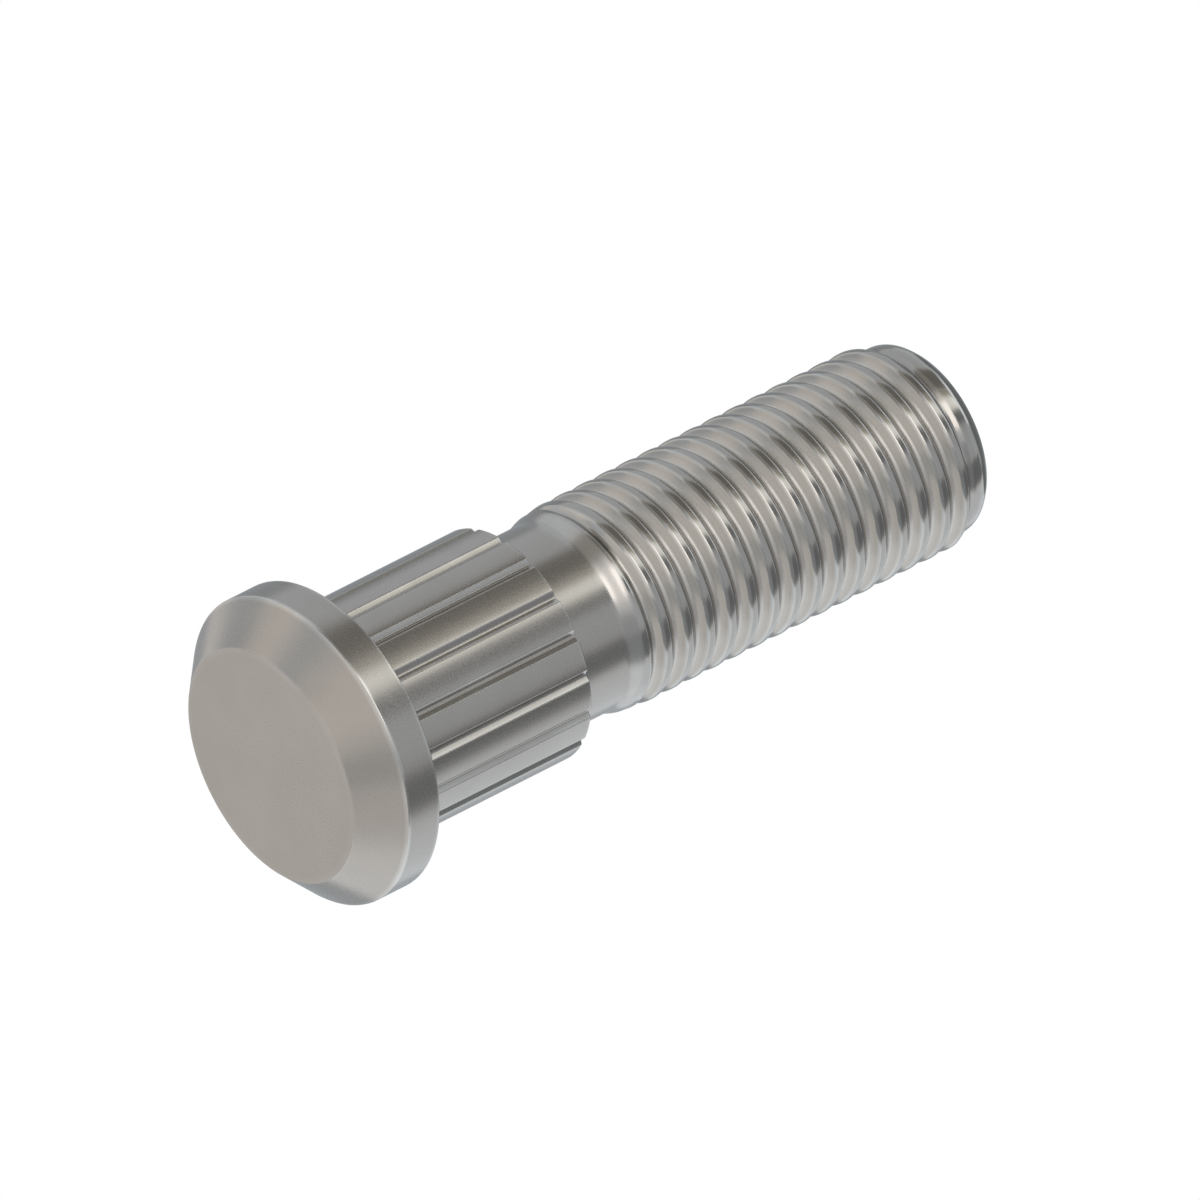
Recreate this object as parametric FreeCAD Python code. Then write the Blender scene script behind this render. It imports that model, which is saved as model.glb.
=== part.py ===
import FreeCAD, Part
import math
import os

from FreeCAD import Vector

# Wheel bolt: a headed stud that is pressed into a wheel hub's flange from behind, so
# that its serrated seat bites into the hub and its thread stands out for the wheel and
# its nut. It is one cold-forged and rolled piece of steel, so it is one solid.
# The origin is the centre of the head's outer face. +Z runs along the axis, from the
# head to the threaded end, and +X is where the thread's form is given.
# All sizes are in millimetres and all angles in degrees.

# Head: a disc with a broad bevel towards its flat outer face
head_diameter = 18.0
head_height = 4.3
head_bevel = 2.15

# Serrated seat: flat lands between shallow grooves that run along the axis
seat_diameter = 13.65
seat_length = 12.5
groove_count = 18
groove_width = 0.70
groove_floor = 0.16
groove_depth = 0.24
groove_first_angle = 9.5

# Plain shank: the rolling blank's own diameter
shank_diameter = 11.1
shank_length = 3.1

# Thread: right-hand, fine pitch, rolled. Its flanks run on to a sharp root.
thread_diameter = 12.0
thread_pitch = 1.5
thread_flank_angle = 30.0
crest_width = 0.28
thread_length = 21.3

# Run-in: the groove starts half a turn before +X and sinks over half a turn
groove_start_turns = -0.5
run_in_turns = 0.5

# Shoulder: the metal that rolling raises where the thread grows out of the shank
shoulder_diameter = 11.7
shoulder_rise = 1.0
shoulder_length = 1.5
thread_entry_length = 1.3
first_groove_offset = 0.6

# Point: the end of the stud, which guides the nut on
point_neck_length = 0.9
point_land_length = 0.6
point_bevel = 0.7

# How far the cutters stand proud of the skin that they cut
cutter_clearance = 0.05
NODE = "wheel_bolt"

# The groove's depth follows from how far apart its flanks stand at the skin
thread_slope = math.tan(math.radians(thread_flank_angle))
thread_depth = (thread_pitch - crest_width) / 2 / thread_slope

# Heights along the axis, each built on the one below it
seat_top = head_height + seat_length
shank_top = seat_top + shank_length
shoulder_top = shank_top + shoulder_length
first_groove_height = shoulder_top + first_groove_offset
crest_start = shoulder_top + thread_entry_length
crest_end = crest_start + thread_length
neck_end = crest_end + point_neck_length
land_end = neck_end + point_land_length
total_length = land_end + point_bevel


def turned_blank():
    """The forged and turned blank: one outline, spun about the axis."""
    head_r = head_diameter / 2
    seat_r = seat_diameter / 2
    shank_r = shank_diameter / 2
    thread_r = thread_diameter / 2
    outline = [
        Vector(0, 0, 0),
        Vector(head_r - head_bevel, 0, 0),
        Vector(head_r, 0, head_bevel),
        Vector(head_r, 0, head_height),
        Vector(seat_r, 0, head_height),
        Vector(seat_r, 0, seat_top),
        Vector(shank_r, 0, seat_top),
        Vector(shank_r, 0, shank_top),
        Vector(shoulder_diameter / 2, 0, shank_top + shoulder_rise),
        Vector(shoulder_diameter / 2, 0, shoulder_top),
        Vector(thread_r, 0, crest_start),
        Vector(thread_r, 0, crest_end),
        Vector(shank_r, 0, neck_end),
        Vector(shank_r, 0, land_end),
        Vector(shank_r - point_bevel, 0, total_length),
        Vector(0, 0, total_length),
    ]
    face = Part.Face(Part.makePolygon(outline + outline[:1]))
    return face.revolve(Vector(0, 0, 0), Vector(0, 0, 1), 360)


def seat_grooves():
    """The grooves of the serrated seat: one flared channel, repeated round the axis."""
    outer = seat_diameter / 2 + cutter_clearance
    floor = seat_diameter / 2 - groove_depth
    flare = (groove_width - groove_floor) / 2 / groove_depth
    half_floor = groove_floor / 2
    half_outer = half_floor + flare * (outer - floor)
    section = [
        Vector(floor, -half_floor, head_height),
        Vector(outer, -half_outer, head_height),
        Vector(outer, half_outer, head_height),
        Vector(floor, half_floor, head_height),
    ]
    face = Part.Face(Part.makePolygon(section + section[:1]))
    channel = face.extrude(Vector(0, 0, seat_length + cutter_clearance))
    channels = []
    for step in range(groove_count):
        copy = channel.copy()
        turn = groove_first_angle + step * 360 / groove_count
        copy.rotate(Vector(0, 0, 0), Vector(0, 0, 1), turn)
        channels.append(copy)
    return channels


def thread_section(lift):
    """The groove's section at +X: its root and two flanks, raised by lift above full depth."""
    root = thread_diameter / 2 - thread_depth + lift
    proud = thread_diameter / 2 + lift + cutter_clearance
    half_width = thread_slope * (proud - root)
    corners = [Vector(root, 0, 0), Vector(proud, 0, -half_width), Vector(proud, 0, half_width)]
    return Part.makePolygon(corners + corners[:1])


def sweep(section, helix):
    """The solid that a section makes when it is carried along a helix."""
    pipe = Part.BRepOffsetAPI.MakePipeShell(helix)
    pipe.setFrenetMode(True)
    pipe.add(section, False, False)
    pipe.build()
    pipe.makeSolid()
    return pipe.shape()


def thread_cutters():
    """The rolled groove in two parts: full depth out to the end, and the run-in below it.

    Along the run-in the groove's root sinks evenly from the skin to its full depth.
    """
    radius = thread_diameter / 2
    full_turns = groove_start_turns + run_in_turns
    turns = math.ceil((total_length - first_groove_height) / thread_pitch - full_turns)
    helix = Part.makeLongHelix(thread_pitch, turns * thread_pitch, radius, 0)
    full = sweep(thread_section(0), helix)
    full.translate(Vector(0, 0, first_groove_height + full_turns * thread_pitch))
    full.rotate(Vector(0, 0, 0), Vector(0, 0, 1), 360 * full_turns)
    climb = run_in_turns * thread_pitch
    taper = math.degrees(math.atan(thread_depth / climb))
    helix = Part.makeLongHelix(thread_pitch, climb, radius + thread_depth, -taper)
    run_in = sweep(thread_section(thread_depth), helix)
    run_in.translate(Vector(0, 0, first_groove_height + groove_start_turns * thread_pitch))
    run_in.rotate(Vector(0, 0, 0), Vector(0, 0, 1), 360 * groove_start_turns)
    return [full, run_in]


def wheel_bolt():
    """The whole bolt: the blank, grooved along its seat and round its thread."""
    bolt = turned_blank().cut(seat_grooves()).removeSplitter()
    for cutter in thread_cutters():
        bolt = bolt.cut(cutter)
    return bolt.Solids[0]


os.makedirs("parts", exist_ok=True)
bolt = wheel_bolt()
bolt.exportStep(f"parts/{NODE}.step")
print(NODE, "valid", bolt.isValid(), "volume", round(bolt.Volume, 2), "faces", len(bolt.Faces))
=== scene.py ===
import logging
import math
from dataclasses import dataclass, field
from enum import Enum

import bpy
import numpy as np
from mathutils import Matrix, Vector


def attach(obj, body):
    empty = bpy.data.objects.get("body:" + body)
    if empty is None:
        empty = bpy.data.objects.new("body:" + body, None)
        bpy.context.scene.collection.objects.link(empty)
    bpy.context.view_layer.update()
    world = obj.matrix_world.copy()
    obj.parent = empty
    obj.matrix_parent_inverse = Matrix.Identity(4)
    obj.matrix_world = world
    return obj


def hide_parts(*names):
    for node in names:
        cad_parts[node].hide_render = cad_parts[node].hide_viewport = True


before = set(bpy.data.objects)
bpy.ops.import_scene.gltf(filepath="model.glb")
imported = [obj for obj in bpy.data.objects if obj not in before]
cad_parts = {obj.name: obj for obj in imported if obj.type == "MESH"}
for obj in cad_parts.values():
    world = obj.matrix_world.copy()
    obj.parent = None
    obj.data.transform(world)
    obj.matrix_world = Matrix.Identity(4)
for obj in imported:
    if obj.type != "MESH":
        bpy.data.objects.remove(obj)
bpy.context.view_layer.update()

# A pressed-in wheel bolt, standing on its head. The frame is in metres. The bolt's own sizes
# are in millimetres, as they are on a drawing, and become metres where the mesh is made.
MM = 0.001
NODE = "wheel_bolt"
SMOOTHED = {"interpolation_type": "SMOOTHSTEP"}
log = logging.getLogger(NODE)


def linear(hex_colour: str) -> tuple[float, float, float, float]:
    """Turns an sRGB hex colour into the linear colour that a shader takes.

    Args:
        hex_colour: The colour as "#rrggbb".

    Returns:
        Red, green, blue and an alpha of 1.
    """
    shares = [int(hex_colour[i:i + 2], 16) / 255 for i in (1, 3, 5)]
    red, green, blue = (
        s / 12.92 if s <= 0.04045 else ((s + 0.055) / 1.055) ** 2.4 for s in shares
    )
    return red, green, blue, 1.0


class Finish(Enum):
    """The two finishes of the skin, in the order of the mesh's material slots."""

    FORGED = 0
    ROLLED = 1


@dataclass(frozen=True)
class Nodes:
    """A node tree, with one way to add to it."""

    tree: bpy.types.NodeTree

    def add(
        self, kind: str, settings: dict[str, object] | None = None, **inputs: object
    ) -> bpy.types.Node:
        """Adds a node, sets its properties and fills or links its inputs.

        Args:
            kind: The node's type name.
            settings: Properties of the node, by name.
            **inputs: Values or output sockets, by input name with _ for a space, or i0,
                i1 and so on for an input by its number.

        Returns:
            The new node.
        """
        node = self.tree.nodes.new(kind)
        for name, value in (settings or {}).items():
            setattr(node, name, value)
        for name, value in inputs.items():
            number = name[1:] if name[0] == "i" and name[1:].isdigit() else None
            socket = node.inputs[int(number) if number else name.replace("_", " ")]
            if isinstance(value, bpy.types.NodeSocket):
                self.tree.links.new(value, socket)
            else:
                socket.default_value = value
        return node


def empty_material(name: str) -> tuple[bpy.types.Material, Nodes]:
    """Makes a material with nothing in it yet.

    Args:
        name: The material's name.

    Returns:
        The material and its node tree.
    """
    material = bpy.data.materials.new(name)
    material.use_nodes = True
    material.node_tree.nodes.clear()
    return material, Nodes(material.node_tree)


@dataclass(frozen=True)
class PhosphatedSteel:
    """Cold-formed carbon steel, zinc-phosphated and lightly oiled.

    To the eye it is a warm mid-grey metal. The phosphate is a layer of tiny crystals, so the
    skin has a satin gloss with a fine sparkle in its highlights and soft cloudy changes of
    tone. Edges and the shoulder's swell are drawn lighter, for bare steel where they have
    rubbed and partly as a painted highlight. The thread's grooves are drawn pale and dull,
    for thick phosphate and partly as painted reflected light.

    Fields:
        name: The material's name.
        colour: The skin's colour, where the phosphate is thin.
        cloud_colour: Its colour in the clouds, where the phosphate is thicker.
        worn_and_highlight_colour: The lighter colour of rubbed edges and of the shoulder's
        swell, which is partly a painted highlight.
        thick_coat_and_reflection_colour: The pale colour of the thick phosphate in the
        thread's grooves, which is partly painted reflected light.
        roughness: The skin's roughness.
        roughness_spread: How far the crystals change it, up and down.
        crystal_mm: The size of a crystal, as it is drawn.
        crystal_depth_mm: How far the crystals stand up.
        cloud_mm: The size of a cloud.
        sparkle: How far the crystals change the colour, up and down.
        polish: How much roughness the steel loses where it is rubbed.
        dullness: How much roughness the thick phosphate adds.
        cover: How much of the metal the thick phosphate hides.
    """

    name: str
    colour: str
    cloud_colour: str
    worn_and_highlight_colour: str
    thick_coat_and_reflection_colour: str
    roughness: float
    roughness_spread: float
    crystal_mm: float = 0.07
    crystal_depth_mm: float = 0.0005
    cloud_mm: float = 4.0
    sparkle: float = 0.03
    polish: float = 0.08
    dullness: float = 0.12
    cover: float = 0.35

    def material(self) -> bpy.types.Material:
        """Builds the finish as a material.

        Returns:
            The material, whose patterns all follow the object's own coordinates.
        """
        material, nodes = empty_material(self.name)
        place = nodes.add("ShaderNodeTexCoord").outputs["Object"]

        # Clouds of thicker and thinner phosphate, a few millimetres across. A noise stays
        # mostly between 0.3 and 0.7, and the ranges here and below stretch that out.
        clouds = nodes.add(
            "ShaderNodeTexNoise", None,
            Vector=place, Scale=1 / (self.cloud_mm * MM), Detail=3.0, Roughness=0.55,
        ).outputs["Fac"]
        cloudiness = nodes.add(
            "ShaderNodeMapRange", SMOOTHED, Value=clouds, i1=0.35, i2=0.68, i3=0.0, i4=1.0
        ).outputs[0]

        # The crystals are hundredths of a millimetre across on real phosphate. They are drawn
        # coarser, so that they still show as a fine grain in the highlights.
        crystals = nodes.add(
            "ShaderNodeTexNoise", None,
            Vector=place, Scale=1 / (self.crystal_mm * MM), Detail=2.0, Roughness=0.6,
        ).outputs["Fac"]

        # Rubbed edges and the shoulder's swell: the mesh carries a mark for each point, which
        # makes it smoother and paints it lighter, partly as a painted highlight. The clouds
        # break that up, and halve it where the phosphate is thin.
        rub_and_highlight = nodes.add(
            "ShaderNodeAttribute", {"attribute_name": "rub_and_highlight"}
        ).outputs["Fac"]
        patchy = nodes.add(
            "ShaderNodeMath", {"operation": "MULTIPLY_ADD"}, i0=cloudiness, i1=0.5, i2=0.5
        ).outputs[0]
        worn_and_highlight = nodes.add(
            "ShaderNodeMath", {"operation": "MULTIPLY"}, i0=rub_and_highlight, i1=patchy
        ).outputs[0]

        tone = nodes.add(
            "ShaderNodeMix", {"data_type": "RGBA"},
            i0=cloudiness, i6=linear(self.colour), i7=linear(self.cloud_colour),
        ).outputs[2]
        sparkle = nodes.add(
            "ShaderNodeMapRange", SMOOTHED,
            Value=crystals, i1=0.25, i2=0.75, i3=1 - self.sparkle, i4=1 + self.sparkle,
        ).outputs[0]
        speckled = nodes.add(
            "ShaderNodeMix", {"data_type": "RGBA", "blend_type": "MULTIPLY"},
            i0=1.0, i6=tone, i7=sparkle,
        ).outputs[2]
        skin = nodes.add(
            "ShaderNodeMix", {"data_type": "RGBA"},
            i0=worn_and_highlight, i6=speckled, i7=linear(self.worn_and_highlight_colour),
        ).outputs[2]

        # In the thread's grooves nothing rubs, and the phosphate stays thick, pale and dull.
        # Its pale, less metallic colour is partly painted reflected light, which lightens the
        # grooves.
        sheltered_and_lit = nodes.add(
            "ShaderNodeAttribute", {"attribute_name": "sheltered_and_lit"}
        ).outputs["Fac"]
        coated_and_lit = nodes.add(
            "ShaderNodeMix", {"data_type": "RGBA"},
            i0=sheltered_and_lit, i6=skin, i7=linear(self.thick_coat_and_reflection_colour),
        ).outputs[2]
        bare = nodes.add(
            "ShaderNodeMath", {"operation": "MULTIPLY_ADD"},
            i0=sheltered_and_lit, i1=-self.cover, i2=1.0,
        ).outputs[0]

        # The gloss: satin, smoother where it is rubbed and duller in the thread's grooves
        low = self.roughness - self.roughness_spread
        high = self.roughness + self.roughness_spread
        satin = nodes.add(
            "ShaderNodeMapRange", SMOOTHED, Value=crystals, i1=0.3, i2=0.7, i3=low, i4=high
        ).outputs[0]
        rubbed = nodes.add(
            "ShaderNodeMath", {"operation": "MULTIPLY_ADD"},
            i0=worn_and_highlight, i1=-self.polish, i2=satin,
        ).outputs[0]
        gloss = nodes.add(
            "ShaderNodeMath", {"operation": "MULTIPLY_ADD"},
            i0=sheltered_and_lit, i1=self.dullness, i2=rubbed,
        ).outputs[0]

        bump = nodes.add(
            "ShaderNodeBump", None,
            Height=crystals, Distance=self.crystal_depth_mm * MM, Strength=1.0,
        ).outputs[0]
        shader = nodes.add(
            "ShaderNodeBsdfPrincipled", None,
            Base_Color=coated_and_lit, Roughness=gloss, Metallic=bare, Normal=bump,
        )
        nodes.add("ShaderNodeOutputMaterial", None, Surface=shader.outputs[0])
        return material


@dataclass(frozen=True)
class Outline:
    """Rows of the bolt's skin, from the middle of its head to the middle of its point.

    Fields:
        radius: Distance from the axis, in millimetres.
        height: Distance above the head's outer face, in millimetres.
        fluted: How far the seat's grooves reach into the row, from 0 to 1.
        sheared: How far the row follows the thread's helix, from 0 to 1.
        rub_and_highlight: How much the row is rubbed and painted lighter, partly as a
        highlight, from 0 to 1.
    """

    radius: np.ndarray
    height: np.ndarray
    fluted: np.ndarray
    sheared: np.ndarray
    rub_and_highlight: np.ndarray


@dataclass(frozen=True)
class Skin:
    """The skin's grid of points, as arrays of rows and columns.

    Fields:
        points: Places, in millimetres.
        normals: Unit normals, outwards.
        rub_and_highlight: How much each point is rubbed and painted lighter, partly as a
            highlight, from 0 to 1.
        sheltered_and_lit: How far each point is sheltered from rubbing deep in the thread's
            grooves, where it is drawn pale, partly as painted reflected light, from 0 to 1.
        measure: How far along its column each point lies, for joining the seam.
    """

    points: np.ndarray
    normals: np.ndarray
    rub_and_highlight: np.ndarray
    sheltered_and_lit: np.ndarray
    measure: np.ndarray


def rounded(
    before: tuple[float, float],
    corner: tuple[float, float],
    after: tuple[float, float],
    radius: float,
    steps: int,
) -> np.ndarray:
    """Points of the arc that rounds one corner of an outline.

    The arc touches both sides at radius / tan(half the angle between them) from the corner.
    Its points are the centre plus the radius along directions that turn evenly from the
    first touching point to the second.

    Args:
        before: The point before the corner, as (radius, height).
        corner: The corner.
        after: The point after the corner.
        radius: The arc's radius.
        steps: The number of segments of the arc.

    Returns:
        An array of steps + 1 rows of (radius, height).
    """
    here = np.array(corner, float)
    back = np.array(before, float) - here
    ahead = np.array(after, float) - here
    back /= np.linalg.norm(back)
    ahead /= np.linalg.norm(ahead)
    half = math.acos(float(back @ ahead)) / 2
    inward = (back + ahead) / np.linalg.norm(back + ahead)
    centre = here + inward * radius / math.sin(half)
    first = here + back * radius / math.tan(half) - centre
    last = here + ahead * radius / math.tan(half) - centre
    turn = math.pi - 2 * half
    share = np.linspace(0, 1, steps + 1)[:, None]
    blend = np.sin((1 - share) * turn) * first + np.sin(share * turn) * last
    return centre + blend / math.sin(turn)


def smooth_step(value: np.ndarray, start: float, end: float) -> np.ndarray:
    """Rises from 0 at start to 1 at end along 3t^2 - 2t^3, level at both ends."""
    share = np.clip((value - start) / (end - start), 0, 1)
    return share * share * (3 - 2 * share)


def smooth_lower(first: np.ndarray, second: np.ndarray, reach: float) -> np.ndarray:
    """The lower of two surfaces, with the crease between them rounded."""
    # Where they are closer than reach, the result dips below both by the square of what is
    # left of the reach, over four times the reach
    left = np.maximum(reach - np.abs(first - second), 0)
    return np.minimum(first, second) - left * left / (4 * reach)


@dataclass
class WheelBolt:
    """The one piece of the object, with the drawing's sizes in millimetres and degrees."""

    # The head, with a broad bevel towards its flat outer face. The bearing face is the ring
    # on its other side, which the hub stops.
    head_radius: float = 9.0
    head_height: float = 4.3
    head_bevel: float = 2.15
    face_rounding: float = 0.15
    rim_rounding: float = 0.12
    bearing_rounding: float = 0.10

    # The serrated seat: lands between shallow grooves, one of them groove_first round from +X
    seat_radius: float = 6.825
    seat_length: float = 12.5
    seat_rounding: float = 0.1
    groove_count: int = 18
    groove_width: float = 0.70
    groove_floor: float = 0.16
    groove_depth: float = 0.24
    groove_first: float = 9.5
    groove_rounding: float = 0.02

    # The plain shank, the shoulder that swells up from it, and the entry, along which the
    # skin rises on to the crests. The swell starts at the share swell_start of the shoulder's
    # length and runs swell_overrun past its top.
    shank_radius: float = 5.55
    shank_length: float = 3.1
    shoulder_radius: float = 5.85
    shoulder_length: float = 1.5
    swell_start: float = 0.28
    swell_overrun: float = 0.05
    entry_length: float = 1.3

    # The rolled thread. At +X its first groove lies first_groove above the shoulder. It starts
    # at the angle groove_start and sinks to its full depth over the angle run_in.
    thread_radius: float = 6.0
    thread_pitch: float = 1.5
    thread_length: float = 21.3
    flank_angle: float = 41.0
    crest_width: float = 0.50
    root_rounding: float = 0.23
    crest_rounding: float = 0.17
    first_groove: float = 0.62
    groove_start: float = -180.0
    run_in: float = 180.0

    # The point: a waisted neck, a plain land and a bevel. The waist is narrowest at the share
    # waist_place of the neck's length.
    waist_radius: float = 5.45
    waist_place: float = 0.4
    neck_length: float = 0.9
    land_length: float = 0.6
    point_bevel: float = 0.7
    point_rounding: float = 0.8

    # How much the edges and the shoulder's swell are rubbed, from 0 to 1. The same marks paint
    # them lighter, partly as a painted highlight. A crest's mark falls away over
    # crest_rub_and_highlight_reach from its edge. A land's lies land_rub_and_highlight_depth
    # down the groove's side, and falls away over land_rub_and_highlight_reach. The swell's
    # comes up between two heights above the shank, and the thread's shelter, where the
    # grooves are drawn pale, partly as painted reflected light, between two depths below the
    # blank.
    face_rub_and_highlight: float = 0.15
    rim_rub_and_highlight: float = 0.8
    bearing_rub_and_highlight: float = 0.6
    seat_rub_and_highlight: float = 0.3
    land_rub_and_highlight_depth: float = 0.03
    land_rub_and_highlight_reach: float = 0.014
    swell_rub_and_highlight: float = 0.3
    swell_rub_and_highlight_start: tuple[float, float] = (0.1, 0.7)
    crest_rub_and_highlight: float = 0.8
    crest_rub_and_highlight_reach: float = 0.09
    point_rub_and_highlight: float = 0.4
    nose_rub_and_highlight: float = 0.5
    sheltered_and_lit_depth: tuple[float, float] = (0.28, 0.48)

    # How the skin is cut into rows. face_rows and end_rows say from which share of a flat
    # end's radius to which its rows lie, and how many there are. bevel_rows says how far the
    # rows of the point's bevel keep from its roundings, as a share of it, and how many there
    # are. tilt_in says how far above the seat the rows begin to tilt into the helix, and
    # tilt_out how far above the neck they are level again, each with the length it takes.
    face_rows: tuple[float, float, int] = (0.15, 0.94, 6)
    end_rows: tuple[float, float, int] = (0.88, 0.15, 5)
    bevel_rows: tuple[float, int] = (0.08, 3)
    corner_steps: int = 5
    point_steps: int = 6
    inset: float = 0.12
    shoulder_rows: int = 27
    row_gap: float = 0.05
    neck_gap: float = 0.07
    neck_step: float = 0.08
    tilt_in: tuple[float, float] = (0.4, 1.6)
    tilt_out: tuple[float, float] = (0.1, 1.3)

    heights: dict[str, float] = field(init=False)

    def __post_init__(self) -> None:
        """Adds up the heights along the axis, each on the one below it."""
        steps = {
            "head": self.head_height,
            "seat": self.seat_length,
            "shank": self.shank_length,
            "shoulder": self.shoulder_length,
            "entry": self.entry_length,
            "crests": self.thread_length,
            "neck": self.neck_length,
            "land": self.land_length,
            "point": self.point_bevel,
        }
        sums = np.cumsum(list(steps.values()))
        self.heights = dict(zip(steps, (float(s) for s in sums)))

    def blank(self, height: np.ndarray) -> np.ndarray:
        """The blank's radius from the shank to the land, before the thread is rolled in.

        It is the shank's radius, plus a smooth step up to the shoulder and one on to the
        crests, less a smooth step down to the waist of the neck, plus one up to the land.

        Args:
            height: Heights above the head's outer face.

        Returns:
            The radius at each height.
        """
        at = self.heights
        swell = self.shoulder_radius - self.shank_radius
        crest = self.thread_radius - self.shoulder_radius
        fall = self.thread_radius - self.waist_radius
        rise = self.shank_radius - self.waist_radius
        lowest = at["shank"] + self.swell_start * self.shoulder_length
        waist = at["crests"] + self.waist_place * self.neck_length
        return (
            self.shank_radius
            + swell * smooth_step(height, lowest, at["shoulder"] + self.swell_overrun)
            + crest * smooth_step(height, at["shoulder"], at["entry"])
            - fall * smooth_step(height, at["crests"], waist)
            + rise * smooth_step(height, waist, at["neck"])
        )

    def thread(self, height: np.ndarray, angle: np.ndarray) -> np.ndarray:
        """The radius of the rolled groove's surface at each point round and along the bolt.

        Across the groove the surface is a V with straight flanks, whose root is an arc that
        touches both. Along the helix the V is lifted clear of the skin at the start of the
        run-in and sinks evenly to its full depth at the end of it. Along the neck a smooth
        step lifts it out again.

        Args:
            height: Heights above the head's outer face.
            angle: Angles round the axis, in degrees.

        Returns:
            The radius of the groove's surface, which is above the skin between grooves.
        """
        pitch = self.thread_pitch
        start = self.heights["shoulder"] + self.first_groove
        turns = (height - start) / pitch - angle / 360
        nearest = np.round(turns)
        across = np.abs(turns - nearest) * pitch
        along = angle + 360 * nearest

        slant = math.tan(math.radians(90 - self.flank_angle))
        apex = slant * (pitch - self.crest_width) / 2
        root = self.root_rounding
        touch = root * math.cos(math.radians(self.flank_angle))
        centre = apex - root / math.sin(math.radians(self.flank_angle))
        arc = centre + np.sqrt(np.maximum(root**2 - np.minimum(across, touch) ** 2, 0))
        depth = np.where(across < touch, arc, apex - slant * across)
        fade = smooth_step(height, self.heights["crests"], self.heights["neck"])
        started = (along - self.groove_start) / self.run_in
        lift = (centre + root) * (np.clip(1 - started, 0, None) + fade)
        return self.thread_radius - depth + lift

    def flute(self, angle: np.ndarray) -> np.ndarray:
        """How deep the seat's grooves are at each angle round the axis.

        Across a groove the depth rises along its sloping side from the edge to the floor.
        Both creases are rounded, as (x + sqrt(x^2 + rounding^2)) / 2 rounds x above 0.

        Args:
            angle: Angles round the axis, in degrees.

        Returns:
            The depth at each angle.
        """
        spacing = 360 / self.groove_count
        turn = (angle - self.groove_first + spacing / 2) % spacing - spacing / 2
        across = np.abs(np.radians(turn)) * self.seat_radius
        slant = 2 * self.groove_depth / (self.groove_width - self.groove_floor)
        fall = slant * (self.groove_width / 2 - across)
        soft = self.groove_rounding
        edge = (fall + np.sqrt(fall**2 + soft**2)) / 2
        past = fall - self.groove_depth
        return edge - (past + np.sqrt(past**2 + soft**2)) / 2

    def head_and_seat(self) -> tuple[np.ndarray, np.ndarray]:
        """Lays out the rows from the middle of the head's face to the plain shank.

        Each corner is an arc. On the straight run after it lie three rows: one close to
        either end and one halfway.

        Returns:
            Rows of (radius, height), and how much each row is rubbed and painted lighter,
            partly as a highlight.
        """
        at = self.heights
        head, seat, shank = self.head_radius, self.seat_radius, self.shank_radius
        flat = head - self.head_bevel
        corners = [
            (0.0, 0.0), (flat, 0.0), (head, self.head_bevel), (head, at["head"]),
            (seat, at["head"]), (seat, at["seat"]), (shank, at["seat"]),
            (shank, self.shoulder_start()),
        ]
        # Each corner's rounding, and how much it is rubbed and painted lighter, partly as a
        # highlight: an inner corner isn't at all
        edges = [
            (self.face_rounding, self.face_rub_and_highlight),
            (self.rim_rounding, self.rim_rub_and_highlight),
            (self.bearing_rounding, self.bearing_rub_and_highlight),
            (self.bearing_rounding, 0.0),
            (self.seat_rounding, self.seat_rub_and_highlight),
            (self.seat_rounding, 0.0),
        ]
        face = np.linspace(*self.face_rows) * flat
        rows = [np.stack([face, 0 * face], 1)]
        marks = [0 * face]
        for index, (rounding, rub_and_highlight_share) in enumerate(edges):
            arc = rounded(*corners[index:index + 3], rounding, self.corner_steps)
            gap = np.array(corners[index + 2]) - arc[-1]
            span = np.linalg.norm(gap)
            # The next arc takes up to its radius off the run, and half of that stays clear
            reach = edges[index + 1][0] if index + 1 < len(edges) else 0.0
            inset = min(self.inset, span / 4)
            run = np.array([inset, (span - reach) / 2, span - 1.5 * reach - inset]) / span
            rows += [arc, arc[-1] + run[:, None] * gap]
            marks += [np.full(len(arc), rub_and_highlight_share), 0 * run]
        return np.concatenate(rows), np.concatenate(marks)

    def shoulder_start(self) -> float:
        """The height, a fifth of the shank below its end, from which the rows lie close."""
        return self.heights["shank"] - self.shank_length / 5

    def shoulder_and_thread(self) -> np.ndarray:
        """Lays out the rows of the shoulder, the thread and the neck.

        Each groove has rows at its root, where the root's arc meets the flanks, round the
        rounding of the crests' edges, and halfway to the next groove.

        Returns:
            Rows of (radius, height).
        """
        at, pitch = self.heights, self.thread_pitch
        edge = (pitch - self.crest_width) / 2
        touch = self.root_rounding * math.cos(math.radians(self.flank_angle))
        # The rounding of a crest's edge reaches as far across as the flank needs to fall by it
        soft = self.crest_rounding * math.tan(math.radians(self.flank_angle))
        side = np.array([
            touch / 2, touch, edge - soft, edge - soft / 2, edge, edge + soft / 2, edge + soft,
        ])
        across = np.concatenate([-side[::-1], [0], side, [pitch / 2]])
        start = at["shoulder"] + self.first_groove
        grooves = int((at["crests"] - start) / pitch) + 1
        threaded = (start + pitch * np.arange(grooves)[:, None] + across).ravel()
        below = np.linspace(
            self.shoulder_start(), start - pitch / 2 - self.row_gap, self.shoulder_rows
        )
        above = np.arange(
            threaded[-1] + self.neck_gap,
            at["land"] - self.point_reach() - self.row_gap,
            self.neck_step,
        )
        along = np.concatenate([below, threaded, above])
        return np.stack([self.blank(along), along], 1)

    def point_reach(self) -> float:
        """How far the roundings of the point, at corners of 135 degrees, reach along a side."""
        return self.point_rounding * math.tan(math.pi / 8)

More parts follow.
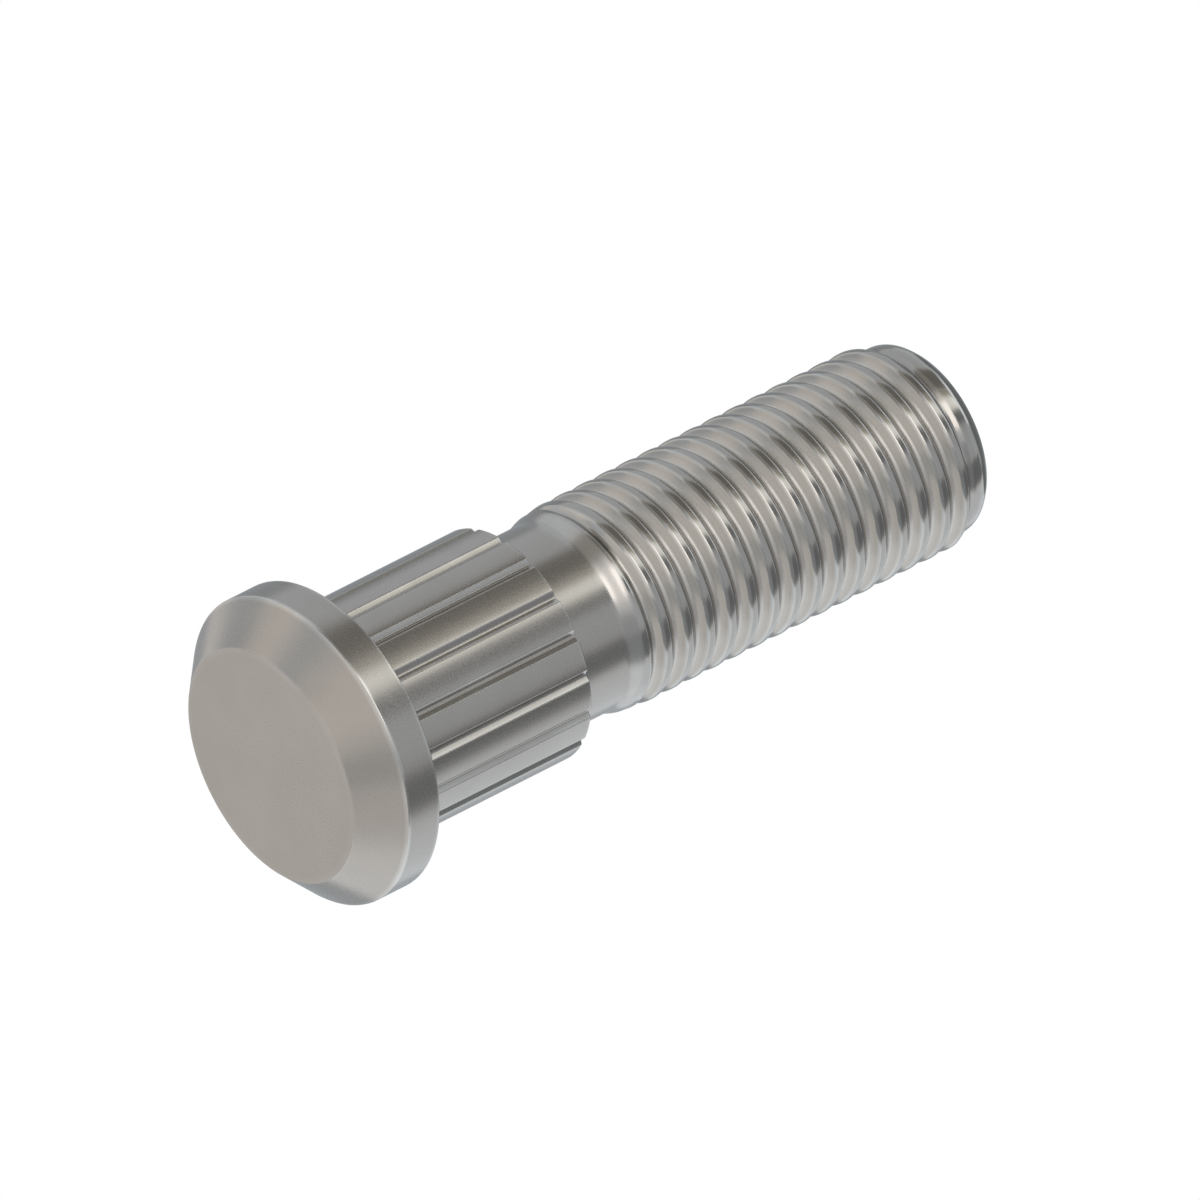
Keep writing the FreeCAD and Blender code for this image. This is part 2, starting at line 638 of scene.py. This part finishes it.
    def point_and_end(self) -> tuple[np.ndarray, np.ndarray]:
        """Lays out the rows from the point's rounded edge to the middle of its flat end.

        Returns:
            Rows of (radius, height), and how much each row is rubbed and painted lighter,
            partly as a highlight.
        """
        at, shank = self.heights, self.shank_radius
        below, land = (shank, at["neck"]), (shank, at["land"])
        nose, middle = (shank - self.point_bevel, at["point"]), (0.0, at["point"])
        first = rounded(below, land, nose, self.point_rounding, self.point_steps)
        last = rounded(land, nose, middle, self.point_rounding, self.point_steps)
        inset, count = self.bevel_rows
        edge = self.point_reach() / self.point_bevel / math.sqrt(2) + inset
        share = np.linspace(edge, 1 - edge, count)[:, None]
        bevel = np.array(land) * (1 - share) + np.array(nose) * share
        flat = np.linspace(*self.end_rows) * nose[0]
        end = np.stack([flat, np.full(len(flat), at["point"])], 1)
        marks = np.repeat(
            [self.point_rub_and_highlight, 0, self.nose_rub_and_highlight, 0], [len(first), len(bevel), len(last), len(end)]
        )
        return np.concatenate([first, bevel, last, end]), marks

    def outline(self) -> Outline:
        """Puts the rows of the skin together, close together where it curves.

        Returns:
            The rows, without the two poles.
        """
        at = self.heights
        lower, lower_marks = self.head_and_seat()
        middle = self.shoulder_and_thread()
        upper, upper_marks = self.point_and_end()
        points = np.concatenate([lower, middle, upper])
        radius, height = points[:, 0], points[:, 1]
        rub_and_highlight = np.concatenate([lower_marks, np.zeros(len(middle)), upper_marks])

        # The seat's grooves run its whole length, and fade out on its step down to the shank
        inner = (self.seat_radius + self.shank_radius) / 2
        outer = self.seat_radius - self.seat_rounding
        within = (lower[:, 1] >= at["head"]) & (
            lower[:, 0] <= self.seat_radius + self.bearing_rounding
        )
        fluted = np.zeros(len(points))
        fluted[:len(lower)] = np.clip((lower[:, 0] - inner) / (outer - inner), 0, 1) * within

        rising = np.clip((height - at["seat"] - self.tilt_in[0]) / self.tilt_in[1], 0, 1)
        falling = np.clip((at["neck"] + self.tilt_out[0] - height) / self.tilt_out[1], 0, 1)
        return Outline(radius, height, fluted, rising * falling, rub_and_highlight)

    def columns(self) -> np.ndarray:
        """The angles of the mesh's columns, close together across each groove of the seat.

        Returns:
            Angles in degrees over one turn, from just past -180.
        """
        spacing = 360 / self.groove_count
        unit = math.degrees(1 / self.seat_radius)
        floor, edge = self.groove_floor / 2 * unit, self.groove_width / 2 * unit
        near = self.groove_rounding * unit
        # Two columns at the crease of the floor, four round the edge, and one on the land
        side = np.array([
            floor - near, floor + near, edge - 2 * near, edge - near / 2,
            edge + near, edge + 4 * near, (edge + spacing / 2) / 2,
        ])
        across = np.concatenate([-side[::-1], side, [spacing / 2]])
        turns = np.arange(self.groove_count) - self.groove_count // 2
        return (self.groove_first + spacing * turns[:, None] + across).ravel()

    def rise(self, rows: Outline, angle: np.ndarray) -> np.ndarray:
        """How far each row climbs with the helix: its share of the pitch, per whole turn."""
        return rows.sheared[:, None] * self.thread_pitch * angle / 360

    def surface(self, rows: Outline, angle: np.ndarray) -> tuple[np.ndarray, ...]:
        """Sets the rows of the skin at some angles round the axis.

        A row's height is its own plus its rise at that angle. Its radius is that of the
        outline or the blank, less the seat's grooves, and no higher than the thread's groove.

        Args:
            rows: The rows.
            angle: Angles in degrees, as an array of one row.

        Returns:
            Points as (rows, columns, 3), the radius before the thread is rolled, that of
            the thread's groove, and where the thread's groove counts.
        """
        height = rows.height[:, None] + self.rise(rows, angle)
        own = np.repeat(rows.radius[:, None], angle.size, 1)
        radius = np.where(rows.sheared[:, None] > 0, self.blank(height), own)
        radius = radius - rows.fluted[:, None] * self.flute(angle)
        groove = self.thread(height, angle)
        threaded = height > self.heights["shank"]
        cut = np.where(threaded, smooth_lower(radius, groove, self.crest_rounding), radius)
        turn = np.radians(angle)
        points = np.stack([cut * np.cos(turn), cut * np.sin(turn), height], 2)
        return points, radius, groove, threaded

    def skin(self) -> Skin:
        """Works out the whole skin on its grid of rows and columns.

        A normal is the cross product of two tangents. The one round the bolt is the change
        of the surface over a small turn. The one along it joins the steps to the next row
        and from the last one, and a longer step counts for more, so flats stay flat. A point
        is sheltered where the thread's groove lies deep below the blank, and is drawn pale
        there, partly as painted reflected light.

        Returns:
            The skin.
        """
        rows, angle = self.outline(), self.columns()[None, :]
        points, radius, groove, threaded = self.surface(rows, angle)

        small = 0.01
        around = self.surface(rows, angle + small)[0] - self.surface(rows, angle - small)[0]
        steps = np.diff(points, axis=0)
        steps = steps * np.linalg.norm(steps, axis=2, keepdims=True)
        along = np.zeros_like(points)
        along[:-1] += steps
        along[1:] += steps
        normals = np.cross(around, along)
        normals /= np.linalg.norm(normals, axis=2, keepdims=True)

        cut = np.hypot(points[..., 0], points[..., 1])
        # Deep in the grooves the skin is drawn pale, partly as painted reflected light
        sheltered_and_lit = smooth_step(radius - cut, *self.sheltered_and_lit_depth) * threaded
        rub_and_highlight = self.rub_and_highlight_marks(rows, angle, np.abs(radius - groove), threaded)

        gaps = np.hypot(np.diff(rows.radius), np.diff(rows.height))
        tilted = rows.sheared[1:] + rows.sheared[:-1] > 0
        gaps = np.where(tilted, np.diff(rows.height), gaps)
        measure = np.concatenate([[0], np.cumsum(gaps)])[:, None] + self.rise(rows, angle)
        return Skin(points, normals, rub_and_highlight, sheltered_and_lit, measure)

    def rub_and_highlight_marks(
        self, rows: Outline, angle: np.ndarray, apart: np.ndarray, threaded: np.ndarray
    ) -> np.ndarray:
        """Works out how much each point is rubbed and painted lighter, partly as a highlight.

        It is the row's own, plus a mark along the edges of the crests, one along those of
        the seat's lands and one on the shoulder's swell, which the rolls leave smoother where
        they run onto it, and which is also a painted highlight. A mark along an edge falls
        away as exp(-(distance / reach)^2).

        Args:
            rows: The rows.
            angle: Angles in degrees, as an array of one row.
            apart: How far the blank and the thread's groove are apart.
            threaded: Where the thread's groove counts.

        Returns:
            Values from 0 to 1.
        """
        at = self.heights
        crests = self.crest_rub_and_highlight * np.exp(-((apart / self.crest_rub_and_highlight_reach) ** 2)) * threaded
        deep = (self.flute(angle) - self.land_rub_and_highlight_depth) / self.land_rub_and_highlight_reach
        lands = rows.fluted[:, None] * np.exp(-(deep**2))
        # On the shoulder's swell the mark is partly a painted highlight
        first, last = self.swell_rub_and_highlight_start
        swell = smooth_step(rows.height, at["shank"] + first, at["shank"] + last)
        swell = swell * (1 - smooth_step(rows.height, at["shoulder"], at["entry"]))
        own = rows.rub_and_highlight + self.swell_rub_and_highlight * swell
        return np.clip(own[:, None] + crests + lands, 0, 1)

    def faces(self, measure: np.ndarray) -> tuple[np.ndarray, np.ndarray]:
        """Joins the grid into a closed skin, with its faces outwards.

        Inside the grid each cell is a square. At the seam the two edge columns are joined by
        triangles: all their points are put in order of their measure, and each next one
        makes a triangle with the last one of either column. The ends are fans round a pole.

        Args:
            measure: How far along its column each point of the grid lies.

        Returns:
            The squares and the triangles, as indices of points row by row, with the lower
            and the upper pole after them.
        """
        rows, columns = measure.shape
        number = np.arange(rows * columns).reshape(rows, columns)
        squares = np.stack(
            [number[:-1, :-1], number[:-1, 1:], number[1:, 1:], number[1:, :-1]], 2
        ).reshape(-1, 4)

        left, right = measure[:, -1], measure[:, 0]
        is_left = np.repeat([True, False], rows - 1)
        order = np.argsort(np.concatenate([left[1:], right[1:]]), kind="stable")
        steps_left = is_left[order]
        on_left = np.cumsum(steps_left)
        on_right = np.cumsum(~steps_left)
        a, b = number[on_left, -1], number[on_right, 0]
        last_a, last_b = number[on_left - steps_left, -1], number[on_right - ~steps_left, 0]
        seam = np.where(
            steps_left[:, None], np.stack([last_a, b, a], 1), np.stack([a, last_b, b], 1)
        )

        ring = np.roll(number, -1, 1)
        low = np.full(columns, rows * columns)
        under = np.stack([low, ring[0], number[0]], 1)
        over = np.stack([low + 1, number[-1], ring[-1]], 1)
        return squares, np.concatenate([seam, under, over])

    def build(self, finishes: dict[Finish, PhosphatedSteel]) -> bpy.types.Object:
        """Makes the bolt's mesh, dresses it and sets it in the frame.

        Args:
            finishes: The steel of each part of the skin.

        Returns:
            The finished object.
        """
        skin = self.skin()
        squares, triangles = self.faces(skin.measure)
        poles = np.array([[0, 0, 0], [0, 0, self.heights["point"]]])
        places = np.concatenate([skin.points.reshape(-1, 3), poles]) * MM
        mesh = bpy.data.meshes.new("forged_bolt")
        mesh.from_pydata(places.tolist(), [], squares.tolist() + triangles.tolist())
        mesh.polygons.foreach_set("use_smooth", np.ones(len(mesh.polygons), bool))

        for finish in Finish:
            mesh.materials.append(finishes[finish].material())
        middles = np.empty(len(mesh.polygons) * 3, np.float32)
        mesh.polygons.foreach_get("center", middles)
        rolled = middles[2::3] > self.heights["shoulder"] * MM
        kinds = np.where(rolled, Finish.ROLLED.value, Finish.FORGED.value)
        mesh.polygons.foreach_set("material_index", kinds.astype(np.int32))
        for name, values in (("rub_and_highlight", skin.rub_and_highlight), ("sheltered_and_lit", skin.sheltered_and_lit)):
            mark = mesh.attributes.new(name, "FLOAT", "POINT")
            mark.data.foreach_set("value", np.append(values.ravel(), [0, 0]).astype(np.float32))
        mesh.update()
        ends = np.array([[0, 0, -1], [0, 0, 1]])
        normals = np.concatenate([skin.normals.reshape(-1, 3), ends])
        mesh.normals_split_custom_set_from_vertices(normals.tolist())

        bolt = bpy.data.objects.new("forged_bolt", mesh)
        bpy.context.scene.collection.objects.link(bolt)
        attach(bolt, "root")
        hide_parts(NODE)
        log.info("forged_bolt: %d triangles", 2 * len(squares) + len(triangles))
        return bolt


@dataclass(frozen=True)
class Cloth:
    """One cloth of the light tent round the bolt, as the metal mirrors it.

    Fields:
        bearings: Where it starts and ends, in degrees from +X towards +Y.
        rises: Its lower and upper edge, in degrees above the horizon.
        brightness: Its brightness next to plain white.
        colour: Its tint.
    """

    bearings: tuple[float, float]
    rises: tuple[float, float]
    brightness: float
    colour: str = "#eef7ff"

    def points(self, radius: float, steps: int = 16) -> np.ndarray:
        """Lays the cloth out as a patch of a sphere about the bolt.

        A point at bearing b and rise e lies at radius times (cos e cos b, cos e sin b, sin e).

        Args:
            radius: The sphere's radius.
            steps: The number of cells each way.

        Returns:
            Points as (steps + 1, steps + 1, 3).
        """
        bearing = np.radians(np.linspace(*self.bearings, steps + 1))[None, :]
        rise = np.radians(np.linspace(*self.rises, steps + 1))[:, None]
        level = np.cos(rise) * radius
        upright = np.sin(rise) * radius + 0 * bearing
        return np.stack([level * np.cos(bearing), level * np.sin(bearing), upright], 2)


@dataclass
class Studio:
    """A white light tent with cloths in it, a pale floor and a camera without perspective."""

    # Later cloths hang in front of earlier ones
    cloths: tuple[Cloth, ...] = (
        # All round the bolt, where its straight sides mirror them
        Cloth((-180, -126), (8, 50), 0.49),
        Cloth((-124, -72), (-10, 50), 0.91),
        Cloth((-70, -38), (-10, 50), 0.27, "#fffffa"),
        Cloth((-36, -28), (-10, 50), 0.54, "#fffae6"),
        Cloth((-28, -12), (-10, 50), 1.90, "#fafffd"),
        Cloth((-10, 6), (-10, 50), 0.29),
        Cloth((6, 46), (-10, 50), 0.83),
        Cloth((48, 80), (-10, 50), 0.31),
        Cloth((82, 148), (-32, 50), 1.26),
        Cloth((148, 180), (-10, 50), 0.58),
        # About the horizon, where slopes that face the head mirror them
        Cloth((-124, -72), (-10, 12), 1.05),
        Cloth((-70, -38), (-38, 12), 0.46, "#fffffa"),
        Cloth((-38, -26), (-38, 12), 0.78),
        Cloth((6, 24), (-10, 12), 1.12),
        Cloth((24, 48), (-38, 12), 0.66),
        Cloth((48, 80), (-38, 12), 0.46),
        Cloth((80, 148), (-10, 12), 1.47),
        Cloth((104, 148), (-32, 0), 1.36, "#f6fbff"),
        Cloth((-34, 12), (-7, 12), 1.2, "#ffffff"),
        Cloth((-24, 8), (-7, 12), 2.8, "#ffffff"),
        # Below the horizon, where steeper slopes and the head's bevel mirror them
        Cloth((29, 62), (-66, -40), 0.74, "#f8fdff"),
        Cloth((-46, 10), (-70, -50), 1.12, "#fffefc"),
        Cloth((-116, -92), (-40, -26), 1.12, "#fffefc"),
        Cloth((-148, -118), (-24, -6), 0.80),
        Cloth((-90, -62), (-52, -34), 0.86),
        Cloth((-30, 14), (-40, -7), 1.3, "#ffffff"),
        # Overhead, where slopes that face the point mirror them
        Cloth((-180, 180), (50, 90), 0.30),
        Cloth((-86, -58), (48, 64), 1.0),
        Cloth((-58, 12), (48, 65), 1.9),
        Cloth((12, 76), (48, 62), 0.8),
    )

    # The first cloth's distance and how much nearer each next one hangs, in millimetres, and
    # the height of the middle that they hang round
    tent_radius: float = 600.0
    cloth_spacing: float = 4.0
    tent_centre: float = 20.0

    # The floor lies just under the bolt, and fades out from one share of its reach to another
    floor_drop: float = 0.05
    floor_reach: float = 66.0
    floor_fade: tuple[float, float] = (0.3, 0.9)

    # The photograph's camera: which way is right and up in its picture, where the picture's
    # middle lies along those two, how wide it is and how far off the camera stands
    camera_right: tuple[float, float, float] = (0.4616, 0.4509, 0.7644)
    camera_up: tuple[float, float, float] = (0.2331, -0.8926, 0.3860)
    camera_aim: tuple[float, float] = (17.66, 8.904)
    camera_width: float = 64.33
    camera_distance: float = 300.0

    def world(self) -> None:
        """Surrounds the scene with plain white.

        The camera and the metal see the same white. What lights the floor is white too.
        """
        world = bpy.data.worlds.new("white_tent")
        world.use_nodes = True
        world.node_tree.nodes.clear()
        nodes = Nodes(world.node_tree)
        path = nodes.add("ShaderNodeLightPath").outputs
        mirrored = nodes.add(
            "ShaderNodeMath", {"operation": "MAXIMUM"},
            i0=path["Is Glossy Ray"], i1=path["Is Transmission Ray"],
        ).outputs[0]
        seen = nodes.add(
            "ShaderNodeMath", {"operation": "MAXIMUM"}, i0=path["Is Camera Ray"], i1=mirrored
        ).outputs[0]
        light = nodes.add(
            "ShaderNodeMix", {"data_type": "RGBA"},
            i0=seen, i6=linear("#fafafa"), i7=(1.0, 1.0, 1.0, 1.0),
        ).outputs[2]
        white = nodes.add("ShaderNodeBackground", None, Color=light, Strength=1.0)
        nodes.add("ShaderNodeOutputWorld", None, Surface=white.outputs[0])
        bpy.context.scene.world = world

    def tent(self) -> None:
        """Hangs the cloths, each nearer than the one before. Only the metal sees them."""
        for number, cloth in enumerate(self.cloths):
            points = cloth.points(self.tent_radius - self.cloth_spacing * number)
            points = points + np.array([0, 0, self.tent_centre])
            rows, columns = points.shape[:2]
            index = np.arange(rows * columns).reshape(rows, columns)
            squares = np.stack(
                [index[:-1, :-1], index[1:, :-1], index[1:, 1:], index[:-1, 1:]], 2
            ).reshape(-1, 4)
            name = f"cloth_{number + 1}"
            mesh = bpy.data.meshes.new(name)
            mesh.from_pydata((points.reshape(-1, 3) * MM).tolist(), [], squares.tolist())
            # A cloth is lit evenly, so the metal mirrors it as one plain tone
            material, nodes = empty_material(name)
            glow = nodes.add(
                "ShaderNodeEmission", None,
                Color=linear(cloth.colour), Strength=cloth.brightness,
            )
            nodes.add("ShaderNodeOutputMaterial", None, Surface=glow.outputs[0])
            mesh.materials.append(material)
            hung = bpy.data.objects.new(name, mesh)
            bpy.context.scene.collection.objects.link(hung)
            hung.visible_camera = False
            hung.visible_diffuse = False
            hung.visible_transmission = False
            hung.visible_shadow = False

    def floor(self) -> None:
        """Lays a pale floor under the bolt, which holds its shadow and fades into white.

        The photograph looks up at the head from below this floor, so the floor is clear from
        below, and the bolt doesn't see it.
        """
        reach, drop = self.floor_reach * MM, -self.floor_drop * MM
        mesh = bpy.data.meshes.new("floor")
        signs = [(-1, -1), (1, -1), (1, 1), (-1, 1)]
        corners = [(x * reach, y * reach, drop) for x, y in signs]
        mesh.from_pydata(corners, [], [(0, 1, 2, 3)])

        # Matt white paper: only the soft shadow shows on it
        material, nodes = empty_material("white_paper")
        place = nodes.add("ShaderNodeTexCoord").outputs["Object"]
        away = nodes.add(
            "ShaderNodeVectorMath", {"operation": "LENGTH"}, i0=place
        ).outputs["Value"]
        paper = nodes.add("ShaderNodeBsdfDiffuse", None, Color=linear("#fafaf8")).outputs[0]
        clear = nodes.add("ShaderNodeBsdfTransparent").outputs[0]
        back = nodes.add("ShaderNodeNewGeometry").outputs["Backfacing"]
        near, far = self.floor_fade
        faded = nodes.add(
            "ShaderNodeMapRange", SMOOTHED,
            Value=away, i1=near * reach, i2=far * reach, i3=0.0, i4=1.0,
        ).outputs[0]
        gone = nodes.add(
            "ShaderNodeMath", {"operation": "MAXIMUM"}, i0=back, i1=faded
        ).outputs[0]
        surface = nodes.add("ShaderNodeMixShader", None, i0=gone, i1=paper, i2=clear)
        nodes.add("ShaderNodeOutputMaterial", None, Surface=surface.outputs[0])
        mesh.materials.append(material)
        floor = bpy.data.objects.new("floor", mesh)
        bpy.context.scene.collection.objects.link(floor)
        floor.visible_glossy = False
        floor.visible_diffuse = False
        floor.visible_transmission = False
        floor.visible_shadow = False

    def camera(self) -> None:
        """Sets the camera where the photograph was taken from, with parallel rays."""
        right, up = Vector(self.camera_right), Vector(self.camera_up)
        back = right.cross(up).normalized()
        up = back.cross(right).normalized()
        right.normalize()
        aim = right * self.camera_aim[0] + up * self.camera_aim[1]
        data = bpy.data.cameras.new("camera")
        data.type = "ORTHO"
        data.ortho_scale = self.camera_width * MM
        camera = bpy.data.objects.new("camera", data)
        turn = Matrix((right, up, back)).transposed().to_4x4()
        camera.matrix_world = (
            Matrix.Translation((aim + back * self.camera_distance) * MM) @ turn
        )
        bpy.context.scene.collection.objects.link(camera)
        bpy.context.scene.camera = camera

    def build(self) -> None:
        """Sets up the light, the floor and the camera."""
        self.world()
        self.tent()
        self.floor()
        self.camera()
        log.info("studio: %d cloths, floor and camera", len(self.cloths))


# The forging die leaves a slightly coarse skin, so its gloss is soft
FORGED_STEEL = PhosphatedSteel(
    name="zinc_phosphated_forged_steel",
    colour="#9e9892",
    cloud_colour="#a19b95",
    # Partly a painted highlight on edges and the shoulder's swell
    worn_and_highlight_colour="#c0bdb9",
    # Partly painted reflected light in the thread's grooves
    thick_coat_and_reflection_colour="#bab4ad",
    roughness=0.26,
    roughness_spread=0.02,
)

# The rolls press the thread's skin smooth, so it glints more
ROLLED_STEEL = PhosphatedSteel(
    name="zinc_phosphated_rolled_steel",
    colour="#9d9892",
    cloud_colour="#a09b95",
    # Partly a painted highlight on edges and the shoulder's swell
    worn_and_highlight_colour="#b5b2ad",
    # Partly painted reflected light in the thread's grooves
    thick_coat_and_reflection_colour="#b9b4ae",
    roughness=0.19,
    roughness_spread=0.015,
)


def main() -> None:
    """Builds the bolt and its studio."""
    logging.basicConfig(level=logging.INFO, format="%(name)s: %(message)s")
    WheelBolt().build({Finish.FORGED: FORGED_STEEL, Finish.ROLLED: ROLLED_STEEL})
    Studio().build()
    bpy.context.scene.view_settings.view_transform = "Standard"


if __name__ == "__main__":
    main()
